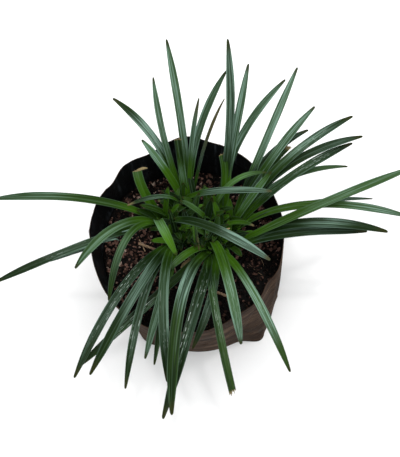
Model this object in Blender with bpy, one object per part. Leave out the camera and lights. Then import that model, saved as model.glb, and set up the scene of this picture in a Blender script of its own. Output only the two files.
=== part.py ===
"""A clump of broad mondo grass in a black film nursery bag, seen in the photo from steeply above.

Origin: middle of the bag's flat bottom, z = 0 on the ground, +Z up, the photo's near side toward -Y.
The tables below are in millimetres and degrees. The meshes are made in metres.
"""

import math
import random

import bmesh
import bpy
import numpy as np

MM = 0.001

# The angle past which an edge is left crisp on each material.
FILM_CREASE = 35.0
SOIL_CREASE = 40.0
LEAF_CREASE = 30.0

# The bag: a lay-flat film tube about 250 mm wide, so about 160 mm across when it stands open.
WALL = 0.8
SECTORS = 72
BASE_RADIUS = 74.0
BASE_MIDDLE_X = 4.0
RIM_RADIUS = 80.0
RIM_MIDDLE_X = -5.0
RIM_HEIGHT = 115.0
RIM_TILT = 8.0
RIM_WAVES = ((89, 5.5, 15), (112, -2.0, 8), (60, 3.5, 16), (145, -3.0, 9), (235, 2.5, 20), (300, -2.5, 18), (329, -4.0, 7))
RIM_DIPS = ((30, 3.0, 14), (118, -3.0, 10), (205, 2.0, 16), (318, -2.5, 9))
BASE_CORNERS = ((313, 11.5, 8), (326, 6.5, 8), (233, 6.5, 12), (45, 8.0, 12), (135, 8.0, 12))
BELLY = ((145, 5.0, 25), (20, 2.5, 30), (250, 2.0, 30), (331, 5.0, 14))
WALL_LEVELS = (12.0, 38.0)
DRAIN_HOLES = (15, 60, 105, 150, 195)
DRAIN_HEIGHT = 22.0
DRAIN_DIAMETER = 5.0

# The potting mix.
GAP = 0.3
SOIL_HEIGHT = 70.0
SOIL_EDGE = 69.0
SOIL_RINGS = (0.975, 0.93, 0.87, 0.80, 0.73, 0.66, 0.58, 0.50, 0.42, 0.34, 0.26, 0.18, 0.09)
TWIGS = ((-39, 4, 339, 19, 2.4), (-45, 6, 297, 18, 1.0), (23, -38, 338, 15, 2.4))

# One crown under each fan of leaves.
CROWN_SIDES = 10
CROWN_PROFILE = ((-14.0, 3.0), (-9.0, 5.4), (0.0, 6.0), (5.0, 4.8), (9.0, 2.2))
CROWN_HOLE = 6.3
CROWN_DISH = 11.0
CROWN_DISH_DEPTH = 5.0

# Each leaf: foot x and y from the crown, heading (0 is right, 90 is back), reach, rise of the tip,
# arch of the middle above the straight line, bow of the middle to the left, width, where the bend
# sits, twist at the tip, and the kind of end.
BLADE_THICKNESS = 0.8
BLADE_STEPS = 9
TAPER_START = 0.74
LEAVES = {
    "shoot_left": ((-26, 28), (
        (-2, 2, 127, 31, 52, 14, 5, 8.0, 0.45, 10, "cut"),
        (-4, 0, 181, 134, 58, 30, 0, 6.8, 0.35, 12, "pointed"),
        (-3, -3, 221, 86, 52, 34, -3.5, 7.2, 0.40, 14, "pointed"),
        (-4, -2, 208, 148, 48, 32, 7, 6.8, 0.35, -10, "pointed"),
        (-2, -4, 244, 89, 44, 40, -8, 5.8, 0.35, 20, "pointed"),
        (-5, -1, 291, 49, 48, 30, -3, 7.6, 0.40, -8, "pointed"),
        (4, -1, 327, 99, 60, 46, -7, 7.4, 0.40, -12, "pointed"),
    )),
    "shoot_back": ((-6, 44), (
        (-4, -2, 209, 49, 63, 26, 2, 3.8, 0.25, 10, "pointed"),
        (-3, 3, 135, 80, 85, 17.5, -6, 7.0, 0.40, 12, "pointed"),
        (-3, 3, 142, 42, 71, 10, 0, 6.8, 0.45, 8, "pointed"),
        (-2, 4, 110, 70, 101, 12, 5, 5.4, 0.40, -10, "pointed"),
        (-1, 4, 101, 30, 66, 6, 0, 6.4, 0.50, 20, "cut"),
        (2, 4, 101, 87, 125, 12, -2, 6.4, 0.40, 10, "pointed"),
        (2, 4, 80, 51, 95, 8, 2, 4.0, 0.50, -12, "pointed"),
        (2, 4, 66, 76, 105, 12, 7, 6.2, 0.40, -10, "pointed"),
        (5, 4, 64, 61, 86, 8, 3, 2.8, 0.50, 15, "pointed"),
        (-6, 2, 345, 77.5, 74, 15, 0, 6.2, 0.20, 8, "pointed"),
        (-5, -3, 183, 20, 18, 6, 0, 4.0, 0.40, 0, "pointed"),
    )),
    "shoot_middle": ((18, 25), (
        (3, 3, 85, 40, 58, 6, -5, 8.2, 0.50, 0, "cut"),
        (2, 4, 86, 105, 125, 14, -6.5, 7.0, 0.40, 10, "pointed"),
        (5, 4, 77, 94, 110, 12, 0, 6.4, 0.40, -12, "pointed"),
        (6, 4, 60, 103, 90, 16, 12, 6.4, 0.35, -10, "pointed"),
        (-3, 0, 176, 26, 52, 8, 0, 5.6, 0.40, 0, "pointed"),
        (-5, 4, 20, 50, 65, 16, 8, 5.4, 0.40, 10, "pointed"),
        (3, -5, 333, 32, 50, 8, 2, 4.6, 0.40, 8, "pointed"),
    )),
    "shoot_right": ((32, 20), (
        (1, 5, 62, 108, 105, 22, -2, 6.4, 0.35, 10, "pointed"),
        (2, 4, 35, 36, 70, 12, -1.5, 6.4, 0.40, 10, "pointed"),
        (3, 4, 49, 99, 80, 30, 0, 6.8, 0.30, 8, "pointed"),
        (4, 3, 46, 86, 65, 30, 8, 6.4, 0.30, 8, "pointed"),
        (4, 3, 48, 66, 63, 26, 0, 5.4, 0.30, 0, "cut"),
        (4, 3, 36, 118, 75, 38, 2, 7.6, 0.28, 10, "pointed"),
        (5, 2, 28, 116, 70, 38, 6.5, 6.8, 0.28, -10, "pointed"),
        (5, 2, 28, 107, 66, 37, -2.5, 7.4, 0.28, 8, "pointed"),
        (5, 1, 21, 98, 55, 37, 5.5, 5.0, 0.28, 10, "pointed"),
        (5, 0, 356, 141, 56, 42, 2, 6.8, 0.28, 8, "pointed"),
        (5, -1, 6, 113, 46, 37, -3, 3.6, 0.28, 10, "pointed"),
    )),
    "shoot_right_front": ((31, 6), (
        (4, 0, 16, 148, 74, 40, -9.5, 6.8, 0.28, -10, "pointed"),
        (5, -3, 359, 123, 48, 36, 3, 8.4, 0.28, 8, "pointed"),
        (4, -4, 1.2, 109, 40, 34, -4, 7.4, 0.28, -8, "pointed"),
    )),
    "shoot_front": ((17, 4), (
        (-1, 6, 282, 104, 48, 40, 0, 8.4, 0.40, 0, "pointed"),
        (4, -2, 294.5, 128, 55, 34, 0.5, 6.8, 0.35, 10, "pointed"),
        (-2, -5, 277, 130, 42, 30, -5.5, 6.6, 0.35, 25, "cut"),
        (-1, -5, 260, 94, 40, 24, 8, 6.6, 0.40, 20, "pointed"),
        (-2, -5, 255.7, 151.5, 42, 36, 3.5, 9.0, 0.35, -25, "pointed"),
        (-3, -4, 258.5, 148.5, 48, 42, -10.5, 9.0, 0.35, 10, "pointed"),
        (-5, -1, 225, 46, 39, 16, 0, 6.8, 0.40, 0, "pointed"),
        (-5, -3, 227, 149, 38, 26.3, 6.5, 7.4, 0.35, -15, "pointed"),
    )),
    "shoot_front_left": ((-13, 8), (
        (-4, -4, 269, 125, 48, 43, -4.5, 7.8, 0.35, 8, "pointed"),
        (-2, -5, 258, 107, 40, 26, 2, 6.6, 0.35, -10, "pointed"),
        (-1, -5, 261.5, 110, 36, 22, 0, 5.2, 0.35, 12, "pointed"),
        (-3, -4, 254.5, 134, 42, 34, -6, 6.4, 0.35, 25, "pointed"),
        (-6, -2, 244, 135.5, 50, 36, 3, 7.6, 0.35, 10, "pointed"),
        (-5, -1, 239.3, 144, 42, 29, -5, 7.2, 0.35, 12, "pointed"),
    )),
}

random.seed(11)
SOIL_LUMPS = [
    (random.uniform(-78, 72), random.uniform(-76, 78), random.uniform(-2.6, 2.6), random.uniform(3.5, 9.0))
    for _ in range(150)
]


def clear_scene():
    for item in list(bpy.data.objects):
        bpy.data.objects.remove(item)


def plain_material(name, colour, roughness, metallic=0.0):
    material = bpy.data.materials.new(name)
    material.use_nodes = True
    shader = material.node_tree.nodes["Principled BSDF"]
    shader.inputs["Base Color"].default_value = (*colour, 1.0)
    shader.inputs["Roughness"].default_value = roughness
    shader.inputs["Metallic"].default_value = metallic
    return material


def solid(name, points, faces, material=None):
    """A mesh object from points in millimetres."""
    mesh = bpy.data.meshes.new(name)
    mesh.from_pydata([tuple(MM * c for c in p) for p in points], [], faces)
    mesh.validate()
    piece = bpy.data.objects.new(name, mesh)
    bpy.context.scene.collection.objects.link(piece)
    if material:
        mesh.materials.append(material)
    return piece


def shade_round(piece, sharp_degrees):
    """Smooth shading, with the edges sharper than this angle left crisp."""
    piece.data.shade_smooth()
    piece.data.set_sharp_from_angle(angle=math.radians(sharp_degrees))


def bumps(angle, table):
    """The sum of rounded bumps, each (degrees, height, width in degrees)."""
    total = 0.0
    for at, height, width in table:
        away = (angle - at + 180.0) % 360.0 - 180.0
        total += height * math.exp(-((away / width) ** 2))
    return total


def rim_height(angle):
    return RIM_HEIGHT + RIM_TILT * math.sin(math.radians(angle)) + bumps(angle, RIM_DIPS)


def bag_radius(angle, height):
    """Outside radius of the film at this angle and height."""
    share = height / rim_height(angle)
    base = BASE_RADIUS + bumps(angle, BASE_CORNERS) * (1.0 - share) ** 2
    rim = RIM_RADIUS + bumps(angle, RIM_WAVES) * share
    belly = bumps(angle, BELLY) * 4.0 * share * (1.0 - share)
    return base + (rim - base) * share + belly


def bag_point(angle, height, inward=0.0):
    middle = BASE_MIDDLE_X + (RIM_MIDDLE_X - BASE_MIDDLE_X) * height / RIM_HEIGHT
    radius = bag_radius(angle, height) - inward
    turn = math.radians(angle)
    return (middle + radius * math.cos(turn), radius * math.sin(turn), height)


def ring_faces(rings, count, first=0, turned=False):
    """Triangles between rings of points numbered one ring after the other. Two walls that lie close
    together take the same diagonals, so the one whose rings run downward is turned."""
    faces = []
    for ring in range(first, first + rings - 1):
        for k in range(count):
            after = (k + 1) % count
            low, high = ring * count, (ring + 1) * count
            if turned:
                faces += [(low + k, low + after, high + k), (low + after, high + after, high + k)]
            else:
                faces += [(low + k, low + after, high + after), (low + k, high + after, high + k)]
    return faces


def bag():
    angles = [360.0 * k / SECTORS for k in range(SECTORS)]
    rings = [[bag_point(a, z) for a in angles] for z in (0.0, *WALL_LEVELS, SOIL_EDGE)]
    for share in (0.5, 1.0):
        rings.append([bag_point(a, SOIL_EDGE + share * (rim_height(a) - SOIL_EDGE)) for a in angles])
    for share in (1.0, 0.5):
        rings.append([bag_point(a, SOIL_EDGE + share * (rim_height(a) - SOIL_EDGE), WALL) for a in angles])
    rings += [[bag_point(a, z, WALL) for a in angles] for z in (SOIL_EDGE, *reversed(WALL_LEVELS))]
    rings.append([(*bag_point(a, 0.0, WALL)[:2], WALL) for a in angles])
    points = [p for ring in rings for p in ring]
    outer = len(WALL_LEVELS) + 4
    faces = ring_faces(outer, SECTORS)
    faces += ring_faces(len(rings) - outer + 1, SECTORS, first=outer - 1, turned=True)
    last = (len(rings) - 1) * SECTORS
    faces.append(tuple(reversed(range(SECTORS))))
    faces.append(tuple(last + k for k in range(SECTORS)))
    material = plain_material("bag film", (0.02, 0.02, 0.022), 0.35)
    piece = solid("polybag", points, faces, material)
    shade_round(piece, FILM_CREASE)
    for n, angle in enumerate(DRAIN_HOLES):
        cut_drain_hole(piece, angle, n)
    return piece


def hide_cutter(cutter):
    cutter.hide_render = True
    cutter.display_type = "WIRE"


def cut(piece, cutter, name):
    hide_cutter(cutter)
    modifier = piece.modifiers.new(name, "BOOLEAN")
    modifier.operation = "DIFFERENCE"
    modifier.solver = "EXACT"
    modifier.object = cutter


def cut_drain_hole(piece, angle, number):
    x, y, z = bag_point(angle, DRAIN_HEIGHT, WALL / 2)
    bpy.ops.mesh.primitive_cylinder_add(
        vertices=12,
        radius=MM * DRAIN_DIAMETER / 2,
        depth=MM * 6.0,
        location=(MM * x, MM * y, MM * z),
        rotation=(0.0, math.pi / 2, math.radians(angle)),
    )
    cutter = bpy.context.object
    cutter.name = f"drain_cutter_{number}"
    cut(piece, cutter, f"drain hole {number}")


def crown_places():
    return [place for place, _ in LEAVES.values()]


def soil_top(x, y):
    """Height of the crumbly surface, flat around the crowns and at the film."""
    lumps = sum(h * math.exp(-((x - a) ** 2 + (y - b) ** 2) / w**2) for a, b, h, w in SOIL_LUMPS)
    nearest = min(math.hypot(x - a, y - b) for a, b in crown_places())
    by_crown = min(1.0, max(0.0, (nearest - CROWN_DISH) / 8.0))
    middle = BASE_MIDDLE_X + (RIM_MIDDLE_X - BASE_MIDDLE_X) * SOIL_EDGE / RIM_HEIGHT
    inside = 1.0 - math.hypot(x - middle, y) / 77.0
    by_film = min(1.0, max(0.0, inside / 0.12))
    return SOIL_EDGE + (SOIL_HEIGHT - SOIL_EDGE) * by_film + lumps * by_crown * by_film


def soil():
    angles = [360.0 * k / SECTORS for k in range(SECTORS)]
    inward = WALL + GAP
    rings = [[(*bag_point(a, 0.0, inward)[:2], inward) for a in angles]]
    rings += [[bag_point(a, z, inward) for a in angles] for z in (*WALL_LEVELS, SOIL_EDGE)]
    middle = BASE_MIDDLE_X + (RIM_MIDDLE_X - BASE_MIDDLE_X) * SOIL_EDGE / RIM_HEIGHT
    for share in SOIL_RINGS:
        ring = []
        for x, y, _ in rings[len(WALL_LEVELS) + 1]:
            px, py = middle + share * (x - middle), share * y
            ring.append((px, py, soil_top(px, py)))
        rings.append(ring)
    points = [p for ring in rings for p in ring] + [(middle, 0.0, soil_top(middle, 0.0))]
    faces = ring_faces(len(rings), SECTORS)
    last = (len(rings) - 1) * SECTORS
    faces += [(last + k, last + (k + 1) % SECTORS, len(points) - 1) for k in range(SECTORS)]
    faces.append(tuple(reversed(range(SECTORS))))
    material = plain_material("potting mix", (0.055, 0.028, 0.02), 0.95)
    piece = solid("soil", points, faces, material)
    join_all(piece, [twig(*row) for row in TWIGS])
    shade_round(piece, SOIL_CREASE)
    for n, place in enumerate(crown_places()):
        cut_crown_hole(piece, place, n)
    return piece


def twig(x, y, heading, length, thickness):
    """A dry stick lying half sunk in the surface."""
    bpy.ops.mesh.primitive_cylinder_add(
        vertices=7,
        radius=MM * thickness / 2,
        depth=MM * length,
        location=(MM * x, MM * y, MM * (soil_top(x, y) + 0.2 * thickness)),
        rotation=(0.0, math.pi / 2, math.radians(heading)),
    )
    return bpy.context.object


def cut_crown_hole(piece, place, number):
    """A plain hole for the crown, under a shallow dish that the leaf feet stand in."""
    bottom = SOIL_HEIGHT + CROWN_PROFILE[0][0] - GAP
    for kind, radius, low in (("hole", CROWN_HOLE, bottom), ("dish", CROWN_DISH, SOIL_HEIGHT - CROWN_DISH_DEPTH)):
        high = SOIL_HEIGHT + 12.0
        bpy.ops.mesh.primitive_cylinder_add(
            vertices=20,
            radius=MM * radius,
            depth=MM * (high - low),
            location=(MM * place[0], MM * place[1], MM * (high + low) / 2),
        )
        cutter = bpy.context.object
        cutter.name = f"{kind}_cutter_{number}"
        cut(piece, cutter, f"{kind} {number}")


def crown(name, place, material):
    """The short rounded base that a fan of leaves grows from."""
    points, faces = [], []
    for z, radius in CROWN_PROFILE:
        for k in range(CROWN_SIDES):
            turn = 2 * math.pi * k / CROWN_SIDES
            points.append((place[0] + radius * math.cos(turn), place[1] + radius * math.sin(turn), SOIL_HEIGHT + z))
    faces = ring_faces(len(CROWN_PROFILE), CROWN_SIDES)
    last = (len(CROWN_PROFILE) - 1) * CROWN_SIDES
    faces.append(tuple(reversed(range(CROWN_SIDES))))
    faces.append(tuple(last + k for k in range(CROWN_SIDES)))
    return solid(name, points, faces, material)


def blade_share(along, end):
    """The blade's width at this share of its length, as a share of the widest."""
    share = 0.62 + 0.38 * min(1.0, along / 0.35)
    if end == "pointed" and along > TAPER_START:
        share *= 1.0 - 0.76 * ((along - TAPER_START) / (1.0 - TAPER_START)) ** 2.0
    return share


def blade_stations(foot, heading, reach, rise, arch, bow, bend, twist, end):
    """Middle point, side and upward directions of the blade at each station, foot to tip."""
    turn = math.radians(heading)
    out = np.array([math.cos(turn), math.sin(turn), 0.0])
    left = np.array([-out[1], out[0], 0.0])
    tip = foot + reach * out + np.array([0.0, 0.0, rise])
    pull = foot + bend * (tip - foot) + np.array([0.0, 0.0, 2.0 * arch]) + 2.0 * bow * left
    fine = np.linspace(0.0, 1.0, 201)[:, None]
    path = (1 - fine) ** 2 * foot + 2 * fine * (1 - fine) * pull + fine**2 * tip
    run = np.concatenate([[0.0], np.cumsum(np.linalg.norm(np.diff(path, axis=0), axis=1))])
    if end == "pointed":
        along = np.array([*np.linspace(0.0, TAPER_START, BLADE_STEPS - 2), 0.83, 0.91, 0.97, 1.0])
    else:
        along = np.linspace(0.0, 1.0, BLADE_STEPS)
    t = np.interp(along * run[-1], run, fine[:, 0])[:, None]
    middle = (1 - t) ** 2 * foot + 2 * t * (1 - t) * pull + t**2 * tip
    forward = 2 * (1 - t) * (pull - foot) + 2 * t * (tip - pull)
    forward /= np.linalg.norm(forward, axis=1)[:, None]
    side = np.cross(forward, [0.0, 0.0, 1.0])
    side /= np.linalg.norm(side, axis=1)[:, None]
    up = np.cross(side, forward)
    roll = np.radians(twist * along)[:, None]
    side, up = np.cos(roll) * side + np.sin(roll) * up, np.cos(roll) * up - np.sin(roll) * side
    return along, middle, side, up


def blade_ring(middle, side, up, half):
    """Six corners of the channelled blade: the left edge, the middle and the right edge, above then below."""
    raised, t = 0.24 * half, BLADE_THICKNESS / 2
    corners = ((-half, raised + t), (0, t), (half, raised + t), (half, raised - t), (0, -t), (-half, raised - t))
    return [middle + a * side + b * up for a, b in corners]


def blade(place, row):
    """One leaf as a closed solid. Its root reaches down into the crown."""
    x, y, heading, reach, rise, arch, bow, width, bend, twist, end = row
    foot = np.array([place[0] + x, place[1] + y, SOIL_HEIGHT + 2.0])
    along, middle, side, up = blade_stations(foot, heading, reach, rise, arch, bow, bend, twist, end)
    root = np.array([place[0] + 0.4 * x, place[1] + 0.4 * y, SOIL_HEIGHT - 3.0])
    rings = [blade_ring(root, side[0], up[0], 0.25 * width)]
    for k, share in enumerate(along):
        rings.append(blade_ring(middle[k], side[k], up[k], 0.5 * width * blade_share(share, end)))
    faces = []
    for k in range(len(rings) - 1):
        near, far = 6 * k, 6 * (k + 1)
        for j in range(6):
            after = (j + 1) % 6
            if j in (3, 4):
                faces += [(near + j, near + after, far + j), (near + after, far + after, far + j)]
            else:
                faces += [(near + j, near + after, far + after), (near + j, far + after, far + j)]
    last = 6 * (len(rings) - 1)
    faces += [(5, 4, 1, 0), (4, 3, 2, 1)]
    faces += [(last, last + 1, last + 4, last + 5), (last + 1, last + 2, last + 3, last + 4)]
    return solid("blade", [p for ring in rings for p in ring], faces)


def join_all(piece, others):
    """Joins the others to the piece by one Boolean union on a collection."""
    group = bpy.data.collections.new("to join")
    bpy.context.scene.collection.children.link(group)
    for other in others:
        for holder in list(other.users_collection):
            holder.objects.unlink(other)
        group.objects.link(other)
    modifier = piece.modifiers.new("join", "BOOLEAN")
    modifier.operation = "UNION"
    modifier.operand_type = "COLLECTION"
    modifier.collection = group
    modifier.solver = "EXACT"
    bpy.context.view_layer.objects.active = piece
    bpy.ops.object.modifier_apply(modifier=modifier.name)
    for other in others:
        bpy.data.objects.remove(other)
    bpy.data.collections.remove(group)
    keep_outer_skin(piece)


def keep_outer_skin(piece):
    """Fills sealed hollows and drops loose scraps: only the largest connected skin stays."""
    mesh = bmesh.new()
    mesh.from_mesh(piece.data)
    waiting = set(mesh.faces)
    skins = []
    while waiting:
        edge_of_skin = [waiting.pop()]
        skin = list(edge_of_skin)
        while edge_of_skin:
            for edge in edge_of_skin.pop().edges:
                for face in edge.link_faces:
                    if face in waiting:
                        waiting.remove(face)
                        skin.append(face)
                        edge_of_skin.append(face)
        skins.append(skin)
    skins.sort(key=len)
    for skin in skins[:-1]:
        bmesh.ops.delete(mesh, geom=skin, context="FACES")
    mesh.to_mesh(piece.data)
    mesh.free()


def shoot(name, place, rows):
    material = plain_material(f"{name} leaf", (0.045, 0.12, 0.035), 0.4)
    piece = crown(name, place, material)
    join_all(piece, [blade(place, row) for row in rows])
    shade_round(piece, LEAF_CREASE)
    return piece


clear_scene()
bag()
soil()
for shoot_name, (shoot_place, shoot_rows) in LEAVES.items():
    shoot(shoot_name, shoot_place, shoot_rows)
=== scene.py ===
import math
import random

import bpy
import numpy as np
from mathutils import Euler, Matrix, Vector


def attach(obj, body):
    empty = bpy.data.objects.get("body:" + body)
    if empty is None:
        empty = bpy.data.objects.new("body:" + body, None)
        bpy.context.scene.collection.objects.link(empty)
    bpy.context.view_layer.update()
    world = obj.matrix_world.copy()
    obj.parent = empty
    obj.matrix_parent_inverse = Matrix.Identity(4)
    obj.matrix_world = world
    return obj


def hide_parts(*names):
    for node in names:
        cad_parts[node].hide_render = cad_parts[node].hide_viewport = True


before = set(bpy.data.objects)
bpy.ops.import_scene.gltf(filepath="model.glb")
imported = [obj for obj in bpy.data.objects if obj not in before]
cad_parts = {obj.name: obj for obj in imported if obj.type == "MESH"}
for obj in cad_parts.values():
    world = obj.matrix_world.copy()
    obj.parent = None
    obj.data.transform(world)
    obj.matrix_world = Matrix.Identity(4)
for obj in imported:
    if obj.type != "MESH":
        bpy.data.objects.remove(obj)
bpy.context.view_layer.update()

# The view
# The camera looks down on the plant from the near side, so steeply that the open mouth of the bag
# is almost round and the leaves fan out over the whole picture.

PHOTO_WIDTH, PHOTO_HEIGHT = 400, 457
SENSOR = 36.0
LOOK_DOWN = 70.0
DISTANCE = 0.650
MOUTH_MIDDLE = Vector((-0.005, 0.0, 0.115))
MOUTH_MIDDLE_PIXEL = (187.0, 235.0)
PIXELS_PER_METRE = 1216.5


def set_camera():
    down = math.radians(LOOK_DOWN)
    forward = Vector((0.0, math.cos(down), -math.sin(down)))
    up = Vector((0.0, math.sin(down), math.cos(down)))
    right_shift = (PHOTO_WIDTH / 2 - MOUTH_MIDDLE_PIXEL[0]) / PIXELS_PER_METRE
    up_shift = (MOUTH_MIDDLE_PIXEL[1] - PHOTO_HEIGHT / 2) / PIXELS_PER_METRE
    place = MOUTH_MIDDLE - DISTANCE * forward + right_shift * Vector((1.0, 0.0, 0.0)) + up_shift * up
    bpy.ops.object.camera_add(location=place, rotation=(math.pi / 2 - down, 0.0, 0.0))
    camera = bpy.context.object
    camera.data.sensor_width = SENSOR
    camera.data.lens = SENSOR * PIXELS_PER_METRE * DISTANCE / PHOTO_HEIGHT
    bpy.context.scene.camera = camera


set_camera()

# The floor and the light
# A plain white sheet under the bag, a broad soft box overhead whose reflection adds to the pale
# sheen painted on the leaves, two small bright lamps that catch the ribs beside the painted glints,
# and an even pale sky all round.

FLOOR_SIZE = 8.0
FLOOR_DROP = 0.0004
FLOOR_WHITE = (0.84, 0.826, 0.82)
SKY = (0.94, 0.98, 1.0)
SKY_STRENGTH = 0.82
OVERHEAD_PLACE = (0.05, 0.14, 1.5)
OVERHEAD_SIZE = 2.2
OVERHEAD_POWER = 26.0
LAMPS = ((-0.42, 0.42, 1.30), (0.45, 0.20, 1.35))
LAMP_SIZE = 0.08
LAMP_POWER = 2.4


class Shade:
    """One output of a shader node. Sums written with it add Math nodes."""

    def __init__(self, paint, socket):
        self.paint = paint
        self.socket = socket

    def sum(self, operation, first, second):
        return self.paint.node("ShaderNodeMath", {"operation": operation}, {0: first, 1: second})

    def __add__(self, other):
        return self.sum("ADD", self, other)

    def __radd__(self, other):
        return self.sum("ADD", other, self)

    def __sub__(self, other):
        return self.sum("SUBTRACT", self, other)

    def __rsub__(self, other):
        return self.sum("SUBTRACT", other, self)

    def __mul__(self, other):
        return self.sum("MULTIPLY", self, other)

    def __rmul__(self, other):
        return self.sum("MULTIPLY", other, self)


class Paint:
    """The node tree of one material."""

    def __init__(self, name):
        self.material = bpy.data.materials.new(name)
        self.material.use_nodes = True
        self.tree = self.material.node_tree
        self.shader = self.tree.nodes["Principled BSDF"]

    def put(self, socket, value):
        """A link from another node, or a plain value."""
        if isinstance(value, Shade):
            self.tree.links.new(value.socket, socket)
        elif isinstance(value, tuple) and len(socket.default_value) == 4 and len(value) == 3:
            socket.default_value = (*value, 1.0)
        else:
            socket.default_value = value

    def node(self, kind, settings=None, sockets=None, out=0):
        """Adds a node: its settings first, then its sockets."""
        node = self.tree.nodes.new(kind)
        for name, value in (settings or {}).items():
            setattr(node, name, value)
        for name, value in (sockets or {}).items():
            self.put(node.inputs[name], value)
        return Shade(self, node.outputs[out])

    def parts(self, kind, name, value):
        """The outputs of a node that takes a value apart."""
        outputs = self.node(kind, {}, {name: value}).socket.node.outputs
        return [Shade(self, output) for output in outputs]

    def stored(self, name, out="Fac"):
        """A value stored on the mesh."""
        return self.node("ShaderNodeAttribute", {"attribute_name": name}, out=out)

    def where(self):
        return self.node("ShaderNodeTexCoord", out="Object")

    def noise(self, vector, scale, detail, roughness):
        sockets = {"Vector": vector, "Scale": scale, "Detail": detail, "Roughness": roughness}
        return self.node("ShaderNodeTexNoise", {}, sockets)

    def ramp(self, value, low, high):
        """Rises smoothly from 0 to 1 as the value goes from low to high."""
        settings = {"interpolation_type": "SMOOTHSTEP"}
        return self.node("ShaderNodeMapRange", settings, {"Value": value, "From Min": low, "From Max": high})

    def mix(self, share, first, second):
        settings = {"data_type": "RGBA"}
        return self.node("ShaderNodeMix", settings, {0: share, 6: first, 7: second}, out=2)

    def stretched(self, vector, scale):
        settings = {"operation": "MULTIPLY"}
        return self.node("ShaderNodeVectorMath", settings, {0: vector, 1: scale})

    def bump(self, height, distance, strength):
        sockets = {"Height": height, "Distance": distance, "Strength": strength}
        return self.node("ShaderNodeBump", {}, sockets)

    def finish(self, **sockets):
        """Sets or links the surface's own sockets, named with underscores."""
        for name, value in sockets.items():
            self.put(self.shader.inputs[name.replace("_", " ")], value)
        return self.material


def deselect():
    bpy.ops.object.select_all(action="DESELECT")


def lay_floor():
    deselect()
    bpy.ops.mesh.primitive_plane_add(size=FLOOR_SIZE, location=(0.0, 0.0, -FLOOR_DROP))
    floor = bpy.context.object
    floor.name = "floor"
    paint = Paint("white floor")
    floor.data.materials.append(paint.finish(Base_Color=FLOOR_WHITE, Roughness=0.9))


def add_soft_box(name, place, size, power):
    bpy.ops.object.light_add(type="AREA", location=place)
    box = bpy.context.object
    box.name = name
    box.data.shape = "DISK"
    box.data.size = size
    box.data.energy = power
    box.rotation_euler = (MOUTH_MIDDLE - Vector(place)).to_track_quat("-Z", "Y").to_euler()


def light_the_sky():
    world = bpy.data.worlds.new("sky")
    world.use_nodes = True
    background = world.node_tree.nodes["Background"]
    background.inputs["Color"].default_value = (*SKY, 1.0)
    background.inputs["Strength"].default_value = SKY_STRENGTH
    bpy.context.scene.world = world


lay_floor()
add_soft_box("overhead soft box", OVERHEAD_PLACE, OVERHEAD_SIZE, OVERHEAD_POWER)
for lamp_place in LAMPS:
    add_soft_box("small lamp", lamp_place, LAMP_SIZE, LAMP_POWER)
light_the_sky()
bpy.context.scene.view_settings.view_transform = "Standard"

# The nursery bag
# A tube of thin black polyethylene film, folded and welded flat across the bottom, opened out and
# stood up by the potting mix in it. Outside it is coated with dried mud in level streaks.
# Inside it is bare and glossy above the mix. Its top edge was cut with a knife, so it waves.

MM = 0.001
SMOOTH_ANGLE = math.radians(50.0)
WALL = 0.8
GAP = 0.3
BASE_RADIUS = 74.0
BASE_MIDDLE_X = 4.0
RIM_RADIUS = 80.0
RIM_MIDDLE_X = -5.0
RIM_HEIGHT = 115.0
RIM_TILT = 8.0
# Bumps of the bag's rim, corners and belly: degrees, height and width in degrees.
RIM_WAVES = (
    (89, 5.5, 15), (112, -2.0, 8), (60, 3.5, 16), (145, -3.0, 9),
    (235, 2.5, 20), (300, -2.5, 18), (329, -4.0, 7),
)
RIM_DIPS = ((30, 3.0, 14), (118, -3.0, 10), (205, 2.0, 16), (318, -2.5, 9))
BASE_CORNERS = ((313, 11.5, 8), (326, 6.5, 8), (233, 6.5, 12), (45, 8.0, 12), (135, 8.0, 12))
BELLY = ((145, 5.0, 25), (20, 2.5, 30), (250, 2.0, 30), (331, 5.0, 14))
DRAIN_HOLES = (15, 60, 105, 150, 195)
DRAIN_HEIGHT = 22.0
DRAIN_DIAMETER = 5.0
PUNCH_LENGTH = 8.0
FILM_COLUMNS = 288
FILM_ROWS = 46
FILM_THICKNESS = 0.5
# How far the rim sways in and out, and up and down, and how soon a crease fades past its ends.
FLUTTER = 0.45
NICKS = 0.5
CREASE_FADE = 6.0
# Each crease: the angle and height share of its two ends, its depth and its width.
CREASES = (
    (318, 0.98, 303, 0.30, -1.1, 2.6), (334, 0.92, 316, 0.10, 1.2, 2.4), (345, 0.70, 322, 0.05, -0.9, 2.2),
    (296, 0.55, 318, 0.02, -1.0, 2.6), (282, 0.97, 291, 0.45, 0.8, 3.0), (262, 0.60, 244, 0.04, -0.9, 3.0),
    (224, 0.90, 236, 0.08, 1.0, 2.6), (205, 0.75, 196, 0.20, -0.8, 3.2), (178, 0.99, 184, 0.55, 0.9, 2.6),
    (166, 0.95, 160, 0.62, -0.8, 2.2), (150, 0.98, 141, 0.58, 0.9, 2.8), (128, 0.96, 134, 0.10, -1.0, 3.0),
    (112, 0.80, 104, 0.25, 0.8, 2.8), (88, 0.70, 96, 0.05, -0.9, 3.0), (70, 0.95, 62, 0.40, 0.8, 2.6),
    (48, 0.85, 44, 0.05, 1.0, 2.6), (25, 0.75, 38, 0.10, -1.0, 2.8), (6, 0.92, 352, 0.30, 0.8, 2.6),
)
MUD_DARK = (0.013, 0.0078, 0.0055)
MUD_MIDDLE = (0.050, 0.029, 0.018)
MUD_PALE = (0.185, 0.122, 0.084)
FILM_BLACK = (0.003, 0.004, 0.0045)
FILM_GREY = (0.046, 0.053, 0.060)


def clamp(value):
    return min(1.0, max(0.0, value))


def angle_of(x, y):
    return math.degrees(math.atan2(y, x)) % 360.0


def degrees_from(angle, at):
    return (angle - at + 180.0) % 360.0 - 180.0


def bumps(angle, table):
    """The sum of a table's rounded bumps."""
    return sum(height * math.exp(-((degrees_from(angle, at) / width) ** 2)) for at, height, width in table)


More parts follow.
